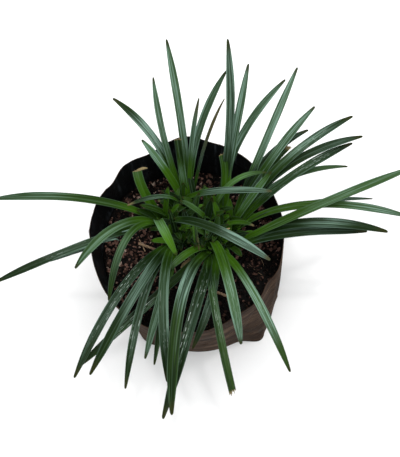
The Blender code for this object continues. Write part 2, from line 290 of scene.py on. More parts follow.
def rim_height(angle):
    return RIM_HEIGHT + RIM_TILT * math.sin(math.radians(angle)) + bumps(angle, RIM_DIPS)


def creased(angle, share):
    """How far the creases push the film out here: each is a soft ridge along a slanting line."""
    total = 0.0
    for top_angle, top, low_angle, low, depth, width in CREASES:
        reached = clamp((top - share) / (top - low))
        at = top_angle + reached * (low_angle - top_angle)
        away = degrees_from(angle, at) * BASE_RADIUS * math.pi / 180.0
        off_end = max(share - top, low - share, 0.0) * RIM_HEIGHT
        total += depth * math.exp(-abs(away) / width - (off_end / CREASE_FADE) ** 2)
    return total


def bag_radius(angle, height):
    """Outside radius of the film at this angle and height."""
    share = height / rim_height(angle)
    base = BASE_RADIUS + bumps(angle, BASE_CORNERS) * (1.0 - share) ** 2
    rim = RIM_RADIUS + bumps(angle, RIM_WAVES) * share
    belly = bumps(angle, BELLY) * 4.0 * share * (1.0 - share)
    return base + (rim - base) * share + belly


def bag_middle(height):
    """Where the middle of the leaning bag is at this height, in x."""
    return BASE_MIDDLE_X + (RIM_MIDDLE_X - BASE_MIDDLE_X) * height / RIM_HEIGHT


def bag_point(angle, height, inward):
    radius = bag_radius(angle, height) - inward
    turn = math.radians(angle)
    return (bag_middle(height) + radius * math.cos(turn), radius * math.sin(turn), height)


def film_point(angle, share):
    """A point of the creased film at this angle and share of the height there."""
    wander = angle * 9 + 40 * math.sin(math.radians(3 * angle))
    flutter = FLUTTER * math.sin(math.radians(wander)) * share**3
    inward = -creased(angle, share) - flutter
    height = share * rim_height(angle) + NICKS * math.sin(math.radians(17 * angle)) * share**6
    return bag_point(angle, height, inward)


def select_near(piece, axis, value, reach=1e-5):
    """In edit mode: selects only the points of the piece near this value along this axis."""
    bpy.ops.mesh.select_all(action="DESELECT")
    bpy.ops.object.mode_set(mode="OBJECT")
    for point in piece.data.vertices:
        point.select = abs(point.co[axis] - value) < reach
    bpy.ops.object.mode_set(mode="EDIT")


def cut_across(at, normal=(0.0, 0.0, 1.0)):
    """In edit mode: cuts round the whole piece here, which gives it a row of points."""
    bpy.ops.mesh.select_all(action="SELECT")
    bpy.ops.mesh.bisect(plane_co=at, plane_no=normal)


def make_drum(name, columns, ends, levels):
    """A drum of unit height and radius, cut round at these levels. Leaves it in edit mode."""
    deselect()
    bpy.ops.mesh.primitive_cylinder_add(
        vertices=columns, radius=1.0, depth=1.0, end_fill_type=ends, location=(0.0, 0.0, 0.5)
    )
    drum = bpy.context.object
    drum.name = name
    bpy.ops.object.transform_apply()
    bpy.ops.object.mode_set(mode="EDIT")
    for level in levels:
        cut_across((0.0, 0.0, level))
    return drum


def apply_all(piece):
    bpy.context.view_layer.objects.active = piece
    for modifier in list(piece.modifiers):
        bpy.ops.object.modifier_apply(modifier=modifier.name)


def paint_film_outside():
    """Black film under dried mud that lies in level streaks, as the film was folded."""
    paint = Paint("muddy film")
    wrap = paint.node("ShaderNodeUVMap", {"uv_map": "wrap"})
    place = paint.where()
    long_streaks = paint.noise(paint.stretched(wrap, (9.0, 9.0, 1.0)), 1.0, 6.0, 0.65)
    fine_streaks = paint.noise(paint.stretched(wrap, (30.0, 34.0, 1.0)), 1.0, 5.0, 0.7)
    blotches = paint.noise(place, 34.0, 5.0, 0.6)
    grit = paint.noise(place, 900.0, 3.0, 0.7)
    tone = 0.48 * long_streaks + 0.30 * fine_streaks + 0.16 * blotches + 0.08
    mud = paint.mix(paint.ramp(tone, 0.42, 0.64), MUD_DARK, MUD_MIDDLE)
    mud = paint.mix(0.72 * paint.ramp(tone, 0.54, 0.76), mud, MUD_PALE)
    mud = paint.mix(0.35 * paint.ramp(grit, 0.55, 0.75), mud, MUD_DARK)
    bare = 0.8 * paint.ramp(paint.noise(place, 20.0, 3.0, 0.5) + 0.3 * fine_streaks, 0.78, 0.90)
    relief = 0.6 * long_streaks + 0.5 * fine_streaks + 0.2 * grit
    return paint.finish(
        Base_Color=paint.mix(bare, mud, FILM_BLACK),
        Roughness=0.85 - 0.3 * bare,
        Specular_IOR_Level=0.06,
        Normal=paint.bump(relief, 0.0014, 0.8),
    )


def paint_film_inside():
    """Bare black film, glossy, with faint grey rubbed lines that run down it."""
    paint = Paint("black film")
    wrap = paint.node("ShaderNodeUVMap", {"uv_map": "wrap"})
    lines = paint.noise(paint.stretched(wrap, (150.0, 3.0, 1.0)), 1.0, 5.0, 0.7)
    haze = paint.noise(paint.where(), 45.0, 4.0, 0.6)
    rubbed = paint.ramp(lines + 0.35 * haze, 0.68, 0.90)
    ripple = paint.noise(paint.stretched(wrap, (60.0, 9.0, 1.0)), 1.0, 3.0, 0.5)
    return paint.finish(
        Base_Color=paint.mix(rubbed, FILM_BLACK, FILM_GREY),
        Roughness=0.50 + 0.2 * rubbed,
        Specular_IOR_Level=0.15,
        Normal=paint.bump(ripple, 0.0009, 0.6),
    )


def wrap_film(film):
    """Lays a map round the tube: across is the angle, up is the share of the height."""
    wrap = film.data.uv_layers.new(name="wrap")
    for face in film.data.polygons:
        for loop in face.loop_indices:
            x, y, z = film.data.vertices[film.data.loops[loop].vertex_index].co
            turn = angle_of(x, y)
            # The last column ends at a full turn and not at none.
            if face.center.y < 0.0 and face.center.x > 0.0 and turn < 1.0:
                turn = 360.0
            wrap.data[loop].uv = (turn / 360.0, z)


def cut_drain_holes(film):
    """Opens a round hole at each drain by a cutter, as a punch would."""
    for angle in DRAIN_HOLES:
        x, y, z = film_point(angle, DRAIN_HEIGHT / rim_height(angle))
        deselect()
        bpy.ops.mesh.primitive_cylinder_add(
            vertices=24,
            radius=MM * DRAIN_DIAMETER / 2,
            depth=MM * PUNCH_LENGTH,
            location=(MM * x, MM * y, MM * z),
            rotation=(0.0, math.pi / 2, math.radians(angle)),
        )
        punch = bpy.context.object
        hole = film.modifiers.new("drain hole", "BOOLEAN")
        hole.operation = "DIFFERENCE"
        hole.solver = "EXACT"
        hole.object = punch
        apply_all(film)
        bpy.data.objects.remove(punch)


def make_film():
    """An open drum is cut into rows, closed below, shaped to the bag and given its thickness."""
    levels = [row / FILM_ROWS for row in range(1, FILM_ROWS)]
    film = make_drum("bag_film", FILM_COLUMNS, "NOTHING", levels)
    bpy.ops.object.mode_set(mode="OBJECT")
    for layer in list(film.data.uv_layers):
        film.data.uv_layers.remove(layer)
    wrap_film(film)
    bpy.ops.object.mode_set(mode="EDIT")
    select_near(film, 2, 0.0)
    bpy.ops.mesh.edge_face_add()
    for ring in (0.06, 0.30, 0.30):
        bpy.ops.mesh.inset(thickness=ring)
    bpy.ops.mesh.poke()
    bpy.ops.object.mode_set(mode="OBJECT")
    for point in film.data.vertices:
        turn = angle_of(point.co.x, point.co.y)
        spread = math.hypot(point.co.x, point.co.y)
        x, y, z = film_point(turn, point.co.z)
        if spread < 0.999:
            x, y = BASE_MIDDLE_X + (x - BASE_MIDDLE_X) * spread, y * spread
        point.co = (MM * x, MM * y, MM * max(0.0, z))
    cut_drain_holes(film)
    thickness = film.modifiers.new("film thickness", "SOLIDIFY")
    thickness.thickness = MM * FILM_THICKNESS
    thickness.offset = -1.0
    thickness.use_even_offset = True
    film.data.materials.append(paint_film_outside())
    film.data.materials.append(paint_film_inside())
    thickness.material_offset = 1
    thickness.material_offset_rim = 0
    apply_all(film)
    bpy.ops.object.shade_smooth_by_angle(angle=SMOOTH_ANGLE)
    return film


film = make_film()
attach(film, "root")
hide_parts("polybag")

# The potting mix
# A loose mix of bark, coir and peat, dark red-brown and damp, with crumbs of one to four millimetres
# all over it, some larger bark chips, a few pale rootlets and three dry sticks.

SOIL_HEIGHT = 70.0
SOIL_EDGE = 69.0
SOIL_RADIUS = 77.0
SOIL_COLUMNS = 180
SOIL_RINGS = 42
CROWN_DISH = 11.0
DISH_SLOPE = 8.0
EDGE_SLOPE = 0.12
CLEAR_OF_CROWN = 5.0
# Each stick: x, y, heading, length and thickness. Each crown: x and y.
STICKS = ((-39, 4, 339, 19, 2.4), (-45, 6, 297, 18, 1.0), (23, -38, 338, 15, 2.4))
CROWNS = ((-26, 28), (-6, 44), (18, 25), (32, 20), (31, 6), (17, 4), (-13, 8))
LUMPS = 150
CRUMB_SHAPES = 6
CRUMBS = 6400
CHIPS = 90
STICK_LIFT = 1.4
ROOTLETS = 10
ROOTLET_SPREAD = 62.0
ROOTLET_STEP = 2.6
SOIL_BLACK = (0.0022, 0.0014, 0.0010)
SOIL_BROWN = (0.026, 0.0125, 0.0085)
SOIL_RED = (0.150, 0.080, 0.060)
SOIL_PALE = (0.30, 0.225, 0.18)
# Places where painted shade darkens the mix under the leaves, and how far it reaches.
PAINTED_SHADE_PLACES = ((-0.036, -0.064, 0.070), (0.050, -0.030, 0.070), (0.004, -0.056, 0.070))
PAINTED_SHADE_REACH = 0.044
STICK_PALE = (0.36, 0.24, 0.14)
STICK_DARK = (0.13, 0.08, 0.045)

# The limits of a lump's x, y, height and width.
LUMP_LIMITS = ((-78, 72), (-76, 78), (-2.6, 2.6), (3.5, 9.0))
lump_draw = random.Random(11)
SOIL_LUMPS = [[lump_draw.uniform(*limits) for limits in LUMP_LIMITS] for _ in range(LUMPS)]


def soil_top(x, y):
    """Height of the crumbly surface, flat round the crowns and at the film."""
    lumps = sum(h * math.exp(-((x - a) ** 2 + (y - b) ** 2) / w**2) for a, b, h, w in SOIL_LUMPS)
    nearest = min(math.hypot(x - a, y - b) for a, b in CROWNS)
    by_crown = clamp((nearest - CROWN_DISH) / DISH_SLOPE)
    inside = 1.0 - math.hypot(x - bag_middle(SOIL_EDGE), y) / SOIL_RADIUS
    by_film = clamp(inside / EDGE_SLOPE)
    return SOIL_EDGE + (SOIL_HEIGHT - SOIL_EDGE) * by_film + lumps * by_crown * by_film


def paint_soil():
    """Damp crumbs from near black to red-brown. Each carries its own tone, and painted shade darkens the mix
    round a few places under the leaves.
    """
    paint = Paint("potting mix")
    own = paint.stored("tone")
    grain = paint.noise(paint.where(), 1500.0, 4.0, 0.7)
    patch = paint.noise(paint.where(), 60.0, 3.0, 0.5)
    tone = 0.90 * own + 0.16 * (grain - 0.5) + 0.20 * (patch - 0.5)
    # Painted shade: the mix is painted darker round each of these places, where the leaves shade it.
    for shade_place in PAINTED_SHADE_PLACES:
        sockets = {0: paint.where(), 1: shade_place}
        away = paint.node("ShaderNodeVectorMath", {"operation": "DISTANCE"}, sockets, out=1)
        tone = tone - 0.28 * paint.ramp(away, PAINTED_SHADE_REACH, 0.4 * PAINTED_SHADE_REACH)
    colour = paint.mix(paint.ramp(tone, 0.28, 0.58), SOIL_BLACK, SOIL_BROWN)
    colour = paint.mix(paint.ramp(tone, 0.50, 0.86), colour, SOIL_RED)
    colour = paint.mix(paint.ramp(tone, 0.88, 0.97), colour, SOIL_PALE)
    return paint.finish(
        Base_Color=colour,
        Roughness=0.90 - 0.45 * grain,
        Specular_IOR_Level=0.10,
        Normal=paint.bump(grain, 0.0004, 0.8),
    )


def paint_stick():
    paint = Paint("dry stick")
    grain = paint.noise(paint.where(), 700.0, 4.0, 0.7)
    colour = paint.mix(paint.ramp(grain, 0.35, 0.65), STICK_DARK, STICK_PALE)
    return paint.finish(Base_Color=colour, Roughness=0.8, Normal=paint.bump(grain, 0.0003, 0.6))


def store(piece, name, values):
    """Stores a number on each point of the piece: one for all of them, or one each."""
    layer = piece.data.attributes.new(name, "FLOAT", "POINT")
    numbers = np.broadcast_to(np.float32(values), len(piece.data.vertices))
    layer.data.foreach_set("value", numbers.astype(np.float32))


def make_soil_body():
    """A drum that fills the film, whose top is inset ring by ring and then heaped up."""
    body = make_drum("potting_mix", SOIL_COLUMNS, "NGON", (0.2, 0.5, 0.8))
    select_near(body, 2, 1.0)
    for _ in range(SOIL_RINGS):
        bpy.ops.mesh.inset(thickness=1.0 / (SOIL_RINGS + 1))
    bpy.ops.mesh.poke()
    bpy.ops.object.mode_set(mode="OBJECT")
    middle = bag_middle(SOIL_EDGE)
    within_film = 1.0 - (FILM_THICKNESS + GAP) / BASE_RADIUS
    for point in body.data.vertices:
        turn = angle_of(point.co.x, point.co.y)
        spread = math.hypot(point.co.x, point.co.y)
        height = point.co.z * SOIL_EDGE
        x, y, z = film_point(turn, height / rim_height(turn))
        x, y = middle + (x - middle) * within_film, y * within_film
        if point.co.z > 0.999 and spread < 0.999:
            x, y = middle + (x - middle) * spread, y * spread
            z = soil_top(x, y)
        point.co = (MM * x, MM * y, MM * max(FILM_THICKNESS + GAP, z))
    relief = bpy.data.textures.new("mix relief", "CLOUDS")
    relief.noise_scale = 0.006
    rough = body.modifiers.new("rough top", "DISPLACE")
    rough.texture = relief
    rough.texture_coords = "LOCAL"
    rough.direction = "Z"
    rough.strength = MM * 2.4
    rough.mid_level = 0.6
    top = body.vertex_groups.new(name="top")
    top.add([v.index for v in body.data.vertices if v.co.z > MM * 60.0], 1.0, "REPLACE")
    rough.vertex_group = "top"
    apply_all(body)
    bpy.ops.object.shade_smooth()
    # Painted shade: the body between the crumbs is painted near black, as the gaps lie in shade.
    store(body, "tone", 0.10)
    return body


def model_crumb(shape):
    """One crumb: a ball of twenty faces, knocked out of round in edit mode. Returns its points and faces."""
    deselect()
    bpy.ops.mesh.primitive_ico_sphere_add(subdivisions=1, radius=0.5)
    crumb = bpy.context.object
    bpy.ops.object.mode_set(mode="EDIT")
    bpy.ops.transform.vertex_random(offset=0.22, seed=shape)
    bpy.ops.object.mode_set(mode="OBJECT")
    points = np.array([v.co for v in crumb.data.vertices])
    faces = np.array([f.vertices[:] for f in crumb.data.polygons])
    bpy.data.objects.remove(crumb)
    return points, faces


def scatter(name, count, low_size, high_size, flatness, seed):
    """Copies of the crumbs strewn over the mix, each turned and sized by its own draw."""
    draw = random.Random(seed)
    shapes = [model_crumb(shape) for shape in range(CRUMB_SHAPES)]
    middle = bag_middle(SOIL_EDGE)
    points, faces, tones, start = [], [], [], 0
    while len(tones) < count:
        turn, out = draw.uniform(0.0, 360.0), math.sqrt(draw.random())
        size = low_size + (high_size - low_size) * draw.random() ** 1.5
        reach = bag_radius(turn, SOIL_EDGE) - WALL - GAP - 0.6 * size
        x = middle + out * reach * math.cos(math.radians(turn))
        y = out * reach * math.sin(math.radians(turn))
        turned = np.array(Euler([draw.uniform(0.0, math.tau) for _ in range(3)]).to_matrix())
        shape, corners = shapes[draw.randrange(len(shapes))]
        stretch = np.array([size * draw.uniform(0.8, 1.5), size, size * flatness])
        if min(math.hypot(x - a, y - b) for a, b in CROWNS) < CLEAR_OF_CROWN:
            continue
        tilt = (draw.uniform(-0.5, 0.5), draw.uniform(-0.5, 0.5), draw.uniform(0.0, math.tau))
        flat = np.array(Euler(tilt).to_matrix())
        spot = np.array([x, y, soil_top(x, y) + size * flatness * draw.uniform(-0.1, 0.45)])
        placed = ((shape @ turned.T) * stretch) @ flat.T
        points.append(placed + spot)
        faces.append(corners + start)
        start += len(shape)
        # Painted shade: a crumb is painted darkest below, where shade falls under it.
        tones.append(draw.random() ** 1.3 + 0.30 * np.clip(placed[:, 2] / (0.5 * size * flatness), -1.0, 0.3))
    mesh = bpy.data.meshes.new(name)
    mesh.from_pydata((np.concatenate(points) * MM).tolist(), [], np.concatenate(faces).tolist())
    piece = bpy.data.objects.new(name, mesh)
    bpy.context.scene.collection.objects.link(piece)
    store(piece, "tone", np.concatenate(tones))
    return piece


def make_stick(x, y, heading, length, thickness):
    """A dry stick: a thin cylinder, cut into lengths, roughened and laid among the crumbs."""
    deselect()
    bpy.ops.mesh.primitive_cylinder_add(vertices=12, radius=MM * thickness / 2, depth=MM * length)
    stick = bpy.context.object
    bpy.ops.object.mode_set(mode="EDIT")
    for cut in range(-4, 5):
        cut_across((0.0, 0.0, MM * length * cut / 10))
    bpy.ops.mesh.select_all(action="SELECT")
    bpy.ops.transform.vertex_random(offset=MM * 0.12 * thickness, seed=int(length))
    bpy.ops.object.mode_set(mode="OBJECT")
    stick.rotation_euler = (0.0, math.pi / 2, math.radians(heading))
    stick.location = (MM * x, MM * y, MM * (soil_top(x, y) + 0.3 * thickness + STICK_LIFT))
    bpy.ops.object.transform_apply()
    bpy.ops.object.shade_smooth_by_angle(angle=math.radians(60.0))
    return stick


def make_rootlet(draw):
    """A pale hair root: a thin curve that lies over the crumbs."""
    turn, out = draw.uniform(0.0, math.tau), ROOTLET_SPREAD * math.sqrt(draw.uniform(0.1, 1.0))
    x, y, heading = out * math.cos(turn), out * math.sin(turn), draw.uniform(0.0, math.tau)
    path = []
    for _ in range(7):
        path.append((x, y, soil_top(x, y) + draw.uniform(0.9, 1.7)))
        heading += draw.uniform(-0.3, 0.3)
        x, y = x + ROOTLET_STEP * math.cos(heading), y + ROOTLET_STEP * math.sin(heading)
    curve = bpy.data.curves.new("rootlet", "CURVE")
    curve.dimensions = "3D"
    curve.bevel_depth = MM * draw.uniform(0.10, 0.20)
    curve.bevel_resolution = 1
    curve.use_fill_caps = True
    curve.resolution_u = 4
    spline = curve.splines.new("NURBS")
    spline.points.add(len(path) - 1)
    for point, where in zip(spline.points, path):
        point.co = (*(MM * c for c in where), 1.0)
    spline.use_endpoint_u = True
    rootlet = bpy.data.objects.new("rootlet", curve)
    bpy.context.scene.collection.objects.link(rootlet)
    deselect()
    rootlet.select_set(True)
    bpy.context.view_layer.objects.active = rootlet
    bpy.ops.object.convert(target="MESH")
    return bpy.context.object


def join(pieces, name):
    deselect()
    for piece in pieces:
        piece.select_set(True)
    bpy.context.view_layer.objects.active = pieces[0]
    bpy.ops.object.join()
    pieces[0].name = name
    return pieces[0]


soil_paint = paint_soil()
soil_body = make_soil_body()
crumbs = scatter("crumbs", CRUMBS, low_size=1.1, high_size=3.8, flatness=0.8, seed=5)
chips = scatter("bark_chips", CHIPS, low_size=3.5, high_size=7.0, flatness=0.35, seed=8)
for piece in (soil_body, crumbs, chips):
    piece.data.materials.append(soil_paint)
sticks = join([make_stick(*row) for row in STICKS], "dry_sticks")
rootlet_draw = random.Random(21)
rootlets = join([make_rootlet(rootlet_draw) for _ in range(ROOTLETS)], "rootlets")
stick_paint = paint_stick()
sticks.data.materials.append(stick_paint)
rootlets.data.materials.append(stick_paint)
for piece in (soil_body, crumbs, chips, sticks, rootlets):
    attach(piece, "root")
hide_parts("soil")

# The leaves
# Seven fans of mondo grass. Each leaf is a long strap, channelled along its middle, ribbed with
# fine veins and waxy on top, which rises from its crown, arches over and tapers to a point. A few
# were cut or torn off short and have dried ends.

CROWN_RADIUS = 5.4
CROWN_DEPTH = 9.0
BLADE_COLUMNS = 40
BLADE_ROWS = 20
SHORT_COLUMNS = 16
SHORT_ROWS = 6
RIBS = 4.5
RIB_HEIGHT = 0.024
CHANNEL = 0.32
FOOT_SHARE = 0.62
WIDEST_FROM = 0.35
TAPER_START = 0.74
TAPER = 0.76
ROUNDING_START = 0.990
BLADE_THICKNESS = 0.45
RIPPLE = 0.07
RIPPLE_RATE = 110.0
FOOT_RISE = 2.0
# How far back and down from its foot each leaf starts, out of sight.
BURIED_BACK, BURIED_DOWN = 3.0, 6.0
SHORT_REACH = 25.0
SHORT_ARCH = 4.0
SHORT_BEND = 0.4
# Painted shade: short leaves in the crown's shade are painted as deep green as others are this far out, in
# metres.
SHORT_SHADE = 0.034
NO_PAINTED_SHEEN = (1.5, 1.6, 0.0)
# Each look: freshness, gloss, dryness of the end, and the share of the length that the end takes.
# The low freshness of the dark, deep and deep gloss looks is partly painted shade on low-lying leaves.
LOOKS = {
    "plain": (0.46, 0.20, 0.10, 0.06),
    "lush": (0.72, 0.50, 0.15, 0.05),
    "dark": (0.15, 0.30, 0.12, 0.08),
    "deep": (0.10, 0.25, 0.12, 0.10),
    "deep gloss": (0.10, 1.00, 0.12, 0.08),
    "glossy": (0.34, 0.76, 0.12, 0.08),
    "olive": (0.40, 0.40, 0.26, 0.22),
    "fresh": (1.00, 0.20, 0.15, 0.05),
    "vivid": (1.60, 0.20, 0.15, 0.04),
    "old": (0.22, 0.35, 0.29, 0.06),
    "fading": (0.45, 0.35, 0.45, 0.08),
    "brown": (0.10, 0.15, 0.34, 0.60),
    "dead": (0.00, 0.10, 1.00, 0.10),
    "cut fresh": (0.55, 0.15, 0.70, 0.03),
    "cut glossy": (0.35, 1.00, 0.60, 0.03),
    "cut dry": (0.25, 0.35, 0.75, 0.07),
}
LEAF_DARK = (0.0045, 0.014, 0.0015)
LEAF_GREEN = (0.0155, 0.038, 0.0038)
LEAF_FRESH = (0.045, 0.126, 0.0035)
# The pale colour is the painted sheen and also the thin pale lines; the glint colour is painted highlights.
LEAF_PALE = (0.150, 0.238, 0.186)
LEAF_UNDER = (0.020, 0.048, 0.010)
LEAF_DRY = (0.22, 0.165, 0.080)
LEAF_TIP = (0.020, 0.022, 0.004)
LEAF_GLINT = (0.55, 0.64, 0.58)
# Each leaf: foot x and y from the crown, heading (0 is right, 90 is back), reach, rise of the tip,
# arch of the middle above the straight line, bow of the middle to the left, width, where the bend
# sits, twist at the tip, its look, and the shares of its length between which a pale sheen is
# painted on, and how strong that painted sheen is. All in millimetres and degrees.
LEAVES = {
    "shoot_left": ((-26, 28), (
        (-2, 2, 127, 31, 52, 14, 5, 8.0, 0.45, 10, "cut fresh", 0.90, 1.20, 0.05),
        (-4, 0, 181, 134, 58, 30, 0, 6.8, 0.35, 12, "plain", 0.64, 1.10, 0.30),
        (-3, -3, 221, 86, 52, 34, -3.5, 7.2, 0.40, 14, "plain", 0.50, 1.10, 0.20),
        (-4, -2, 208, 148, 48, 32, 7, 6.8, 0.35, -10, "glossy", 0.42, 0.72, 0.30),
        (-2, -4, 244, 89, 44, 40, -8, 5.8, 0.35, 20, "plain", 0.56, 0.84, 0.14),
        (-5, -1, 291, 49, 48, 30, -3, 7.6, 0.40, -8, "vivid", -0.30, 0.80, 0.26),
        (4, -1, 327, 99, 60, 46, -7, 7.4, 0.40, -12, "old", 0.72, 1.20, 1.20),
    )),
    "shoot_back": ((-6, 44), (
        (-4, -2, 209, 49, 63, 26, 2, 3.8, 0.25, 10, "fading", 0.48, 0.85, 0.30),
        (-3, 3, 135, 80, 85, 17.5, -6, 7.0, 0.40, 12, "glossy", 0.50, 0.84, 0.80),
        (-3, 3, 142, 42, 71, 10, 0, 6.8, 0.45, 8, "vivid", 0.64, 1.20, 1.30),
        (-2, 4, 110, 70, 101, 12, 5, 5.4, 0.40, -10, "plain", 0.42, 1.20, 0.58),
        (-1, 4, 101, 30, 66, 6, 0, 6.4, 0.50, 20, "cut glossy", 0.40, 0.66, 0.34),
        (2, 4, 101, 87, 125, 12, -2, 6.4, 0.40, 10, "plain", 0.34, 1.20, 0.62),
        (2, 4, 80, 51, 95, 8, 2, 4.0, 0.50, -12, "olive", 0.54, 1.20, 0.66),
        (2, 4, 66, 76, 105, 12, 7, 6.2, 0.40, -10, "plain", 0.38, 1.20, 0.54),
        (5, 4, 64, 61, 86, 8, 3, 2.8, 0.50, 15, "brown", 0.40, 1.20, 0.34),
        (-6, 2, 345, 77.5, 74, 15, 0, 6.2, 0.20, 8, "old", 0.42, 1.20, 0.36),
        (-5, -3, 183, 20, 18, 6, 0, 4.0, 0.40, 0, "fading", 0.50, 0.90, 0.10),
    )),
    "shoot_middle": ((18, 25), (
        (3, 3, 85, 40, 58, 6, -5, 8.2, 0.50, 0, "cut fresh", 0.90, 1.20, 0.05),
        (2, 4, 86, 105, 125, 14, -6.5, 7.0, 0.40, 10, "dark", 0.44, 1.20, 0.40),
        (5, 4, 77, 94, 110, 12, 0, 6.4, 0.40, -12, "plain", 0.44, 1.20, 0.64),
        (6, 4, 60, 103, 90, 16, 12, 6.4, 0.35, -10, "plain", 0.46, 1.20, 0.64),
        (-3, 0, 176, 26, 52, 8, 0, 5.6, 0.40, 0, "plain", 0.50, 1.00, 0.14),
        (-5, 4, 20, 50, 65, 16, 8, 5.4, 0.40, 10, "fresh", 0.38, 0.90, 0.18),
        (3, -5, 333, 32, 50, 8, 2, 4.6, 0.40, 8, "fading", 0.90, 1.10, 0.05),
    )),
    "shoot_right": ((32, 20), (
        (1, 5, 62, 108, 105, 22, -2, 6.4, 0.35, 10, "plain", 0.46, 1.20, 0.54),
        (2, 4, 35, 36, 70, 12, -1.5, 6.4, 0.40, 10, "fresh", 0.36, 0.90, 0.45),
        (3, 4, 49, 99, 80, 30, 0, 6.8, 0.30, 8, "plain", 0.60, 1.20, 0.58),
        (4, 3, 46, 86, 65, 30, 8, 6.4, 0.30, 8, "dark", 0.78, 1.10, 0.22),
        (4, 3, 48, 66, 63, 26, 0, 5.4, 0.30, 0, "cut dry", 0.26, 0.78, 0.50),
        (4, 3, 36, 118, 75, 38, 2, 7.6, 0.28, 10, "glossy", 0.60, 0.90, 0.40),
        (5, 2, 28, 116, 70, 38, 6.5, 6.8, 0.28, -10, "dark", 0.70, 1.00, 0.18),
        (5, 2, 28, 107, 66, 37, -2.5, 7.4, 0.28, 8, "glossy", 0.42, 0.90, 0.18),
        (5, 1, 21, 98, 55, 37, 5.5, 5.0, 0.28, 10, "plain", 0.42, 1.10, 0.18),
        (5, 0, 356, 141, 56, 42, 2, 6.8, 0.28, 8, "plain", 0.70, 0.94, 0.56),
        (5, -1, 6, 113, 46, 37, -3, 3.6, 0.28, 10, "dark", 0.40, 1.20, 0.32),
    )),
    "shoot_right_front": ((31, 6), (
        (4, 0, 16, 148, 74, 40, -9.5, 6.8, 0.28, -10, "plain", 0.52, 1.20, 0.28),
        (5, -3, 359, 123, 48, 36, 3, 8.4, 0.28, 8, "deep", 0.58, 0.78, 0.40),
        (4, -4, 1.2, 109, 40, 34, -4, 7.4, 0.28, -8, "deep", 0.64, 0.88, 0.36),
    )),
    "shoot_front": ((17, 4), (
        (-1, 6, 282, 104, 48, 40, 0, 8.4, 0.40, 0, "lush", 0.62, 1.04, 0.72),
        (4, -2, 294.5, 128, 55, 34, 0.5, 6.8, 0.35, 10, "lush", 0.46, 0.84, 0.62),
        (-2, -5, 277, 130, 42, 30, -5.5, 6.6, 0.35, 25, "cut glossy", 0.26, 0.70, 0.14),
        (-1, -5, 260, 94, 40, 24, 8, 6.6, 0.40, 20, "glossy", 0.50, 0.82, 0.22),
        (-2, -5, 255.7, 151.5, 42, 36, 3.5, 9.0, 0.35, -25, "deep gloss", 0.36, 0.74, 0.05),
        (-3, -4, 258.5, 148.5, 48, 42, -10.5, 9.0, 0.35, 10, "dark", 0.36, 0.56, 0.70),
        (-5, -1, 225, 46, 39, 16, 0, 6.8, 0.40, 0, "plain", 0.80, 1.00, 0.05),
        (-5, -3, 227, 149, 38, 26.3, 6.5, 7.4, 0.35, -15, "deep gloss", 0.50, 0.84, 0.12),
    )),
    "shoot_front_left": ((-13, 8), (
        (-4, -4, 269, 125, 48, 43, -4.5, 7.8, 0.35, 8, "glossy", 0.46, 0.86, 0.28),
        (-2, -5, 258, 107, 40, 26, 2, 6.6, 0.35, -10, "plain", 0.60, 1.10, 0.50),
        (-1, -5, 261.5, 110, 36, 22, 0, 5.2, 0.35, 12, "lush", 0.48, 0.74, 0.12),
        (-3, -4, 254.5, 134, 42, 34, -6, 6.4, 0.35, 25, "deep gloss", 0.44, 0.84, 0.14),
        (-6, -2, 244, 135.5, 50, 36, 3, 7.6, 0.35, 10, "deep", 0.38, 0.70, 0.30),
        (-5, -1, 239.3, 144, 42, 29, -5, 7.2, 0.35, 12, "deep gloss", 0.36, 0.80, 0.14),
    )),
}


def blade_share(along, pointed):
    """The blade's width at this share of its length, as a share of the widest."""
    share = FOOT_SHARE + (1.0 - FOOT_SHARE) * min(1.0, along / WIDEST_FROM)
    if pointed and along > TAPER_START:
        share *= 1.0 - TAPER * ((along - TAPER_START) / (1.0 - TAPER_START)) ** 2
    return share


def rounded_share(along, pointed):
    """The same with the tip rounded off."""
    share = blade_share(along, pointed)
    if pointed and along > ROUNDING_START:
        share *= math.sqrt(max(0.02, 1.0 - ((along - ROUNDING_START) / (1.0 - ROUNDING_START)) ** 2))
    return share


def model_blade(pointed, columns, rows):
    """The pattern of every leaf: a strap one long and two wide, narrowed column by column to its
    outline, then channelled and ribbed. The cut kind ends in a ragged edge."""
    deselect()
    bpy.ops.mesh.primitive_grid_add(x_subdivisions=columns, y_subdivisions=rows, size=1.0)
    blade = bpy.context.object
    bpy.ops.transform.resize(value=(1.0, 2.0, 1.0))
    bpy.ops.transform.translate(value=(0.5, 0.0, 0.0))
    bpy.ops.object.transform_apply()
    bpy.ops.object.mode_set(mode="EDIT")
    if pointed:
        # Close columns let the tip be rounded.
        for extra in (0.984, 0.990, 0.9945, 0.9975, 0.9992):
            cut_across((extra, 0.0, 0.0), (1.0, 0.0, 0.0))
    bpy.ops.object.mode_set(mode="OBJECT")
    stations = sorted({round(point.co.x, 5) for point in blade.data.vertices})
    bpy.ops.object.mode_set(mode="EDIT")
    for station in stations:
        select_near(blade, 0, station, 2e-5)
        share = rounded_share(station, pointed)
        bpy.ops.transform.resize(value=(1.0, share, 1.0), center_override=(0.0, 0.0, 0.0))
    bpy.ops.object.mode_set(mode="OBJECT")
    ragged = random.Random(3)
    # The short kind has too few rows to carry ribs.
    rib_height = RIB_HEIGHT if rows > 4 * RIBS else 0.0
    for point in blade.data.vertices:
        half = rounded_share(point.co.x, pointed)
        across = point.co.y / half
        ribs = rib_height * math.cos(math.tau * RIBS * across / 2.0)
        point.co.z = half * (CHANNEL * abs(across) ** 1.25 + ribs)
        if not pointed and point.co.x > 0.999:
            point.co.x -= ragged.uniform(0.0, 0.030)
    return blade


